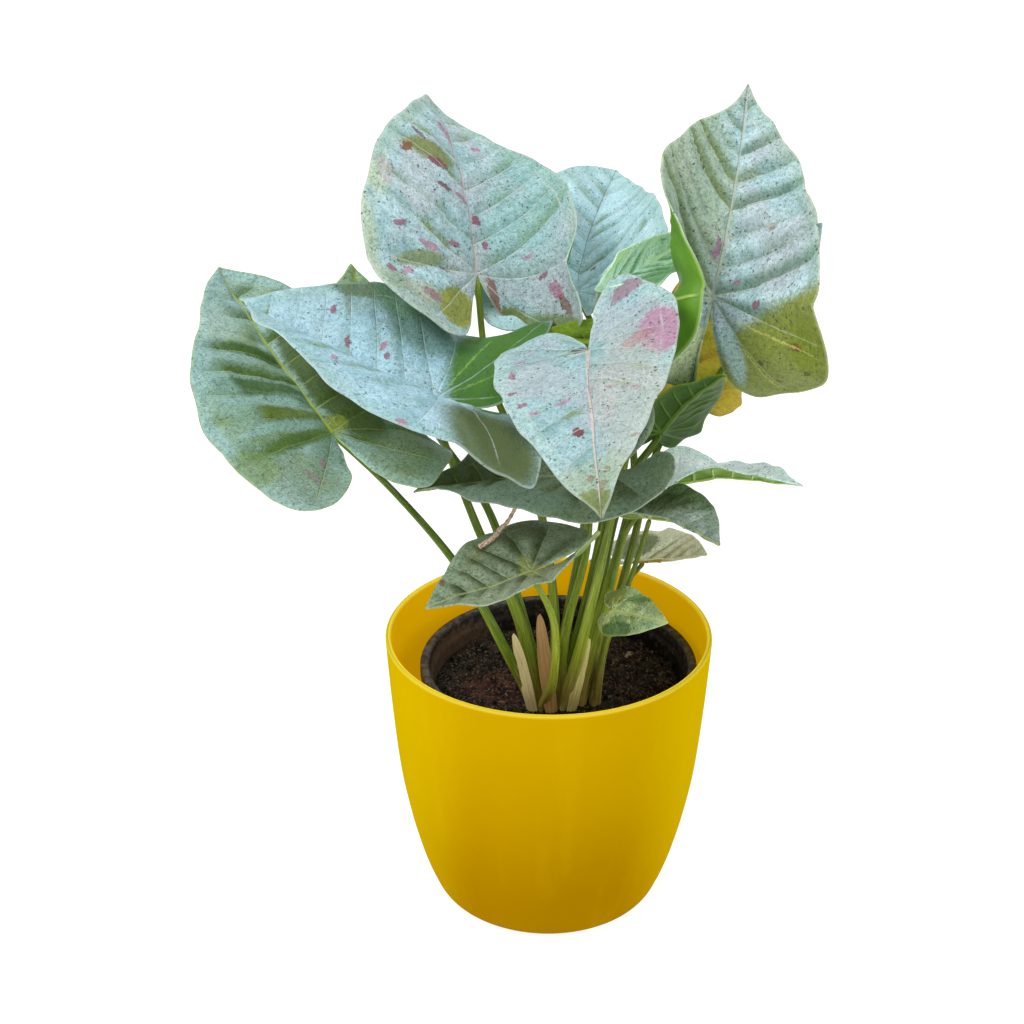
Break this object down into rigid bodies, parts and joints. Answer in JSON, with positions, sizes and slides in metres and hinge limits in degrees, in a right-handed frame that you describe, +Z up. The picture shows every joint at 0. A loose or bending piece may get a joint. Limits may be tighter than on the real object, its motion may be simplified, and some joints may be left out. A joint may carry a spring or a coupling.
{
  "type": "potted arrowhead plant",
  "caption": "Clump of arrow-shaped silvery leaves on long stalks, rooted in soil in a black nursery pot set in a round tapered yellow planter.",
  "frame": {"origin": "centre of the planter's flat base", "axes": "+Z up, -Y towards the side the plant shows in front, +X to its right"},
  "size_m": [0.2418, 0.2285, 0.3161],
  "materials": {
    "planter": "satin yellow moulded plastic",
    "nursery_pot": "matte black thin plastic, dusted with soil",
    "soil": "dark crumbly peat and bark",
    "stalk": "smooth fleshy green leaf stalk",
    "blade": "silvery blue-green leaf with pink flecks",
    "young_blade": "glossy light green young leaf",
    "shaded_blade": "grey-green to dark green leaf",
    "yellow_blade": "olive-yellow leaf",
    "dry_sheath": "papery dry leaf sheath",
    "dry_stalk": "dry pinkish-tan curled stalk"
  },
  "bodies": {
    "root": {"planter": "planter", "nursery_pot": "nursery_pot", "soil": "soil", "shoot_left": "stalk", "shoot_middle": "stalk", "shoot_right": "stalk", "shoot_small": "stalk", "leaf_top": "blade", "leaf_right": "blade", "leaf_behind": "blade", "leaf_half_open": "young_blade", "leaf_front": "blade", "leaf_left": "blade", "leaf_far_left": "blade", "leaf_shaded": "shaded_blade", "leaf_low": "shaded_blade", "leaf_dark": "shaded_blade", "leaf_yellow": "yellow_blade", "leaf_side": "blade", "leaf_side_low": "shaded_blade", "leaf_pale": "shaded_blade", "leaf_young": "young_blade", "leaf_inner": "shaded_blade", "leaf_back_left": "blade", "leaf_back_right": "blade", "sheath_cream": "dry_sheath", "sheath_brown": "dry_sheath", "sheath_pale": "dry_sheath", "dry_stalk": "dry_stalk"}
  },
  "joints": []
}
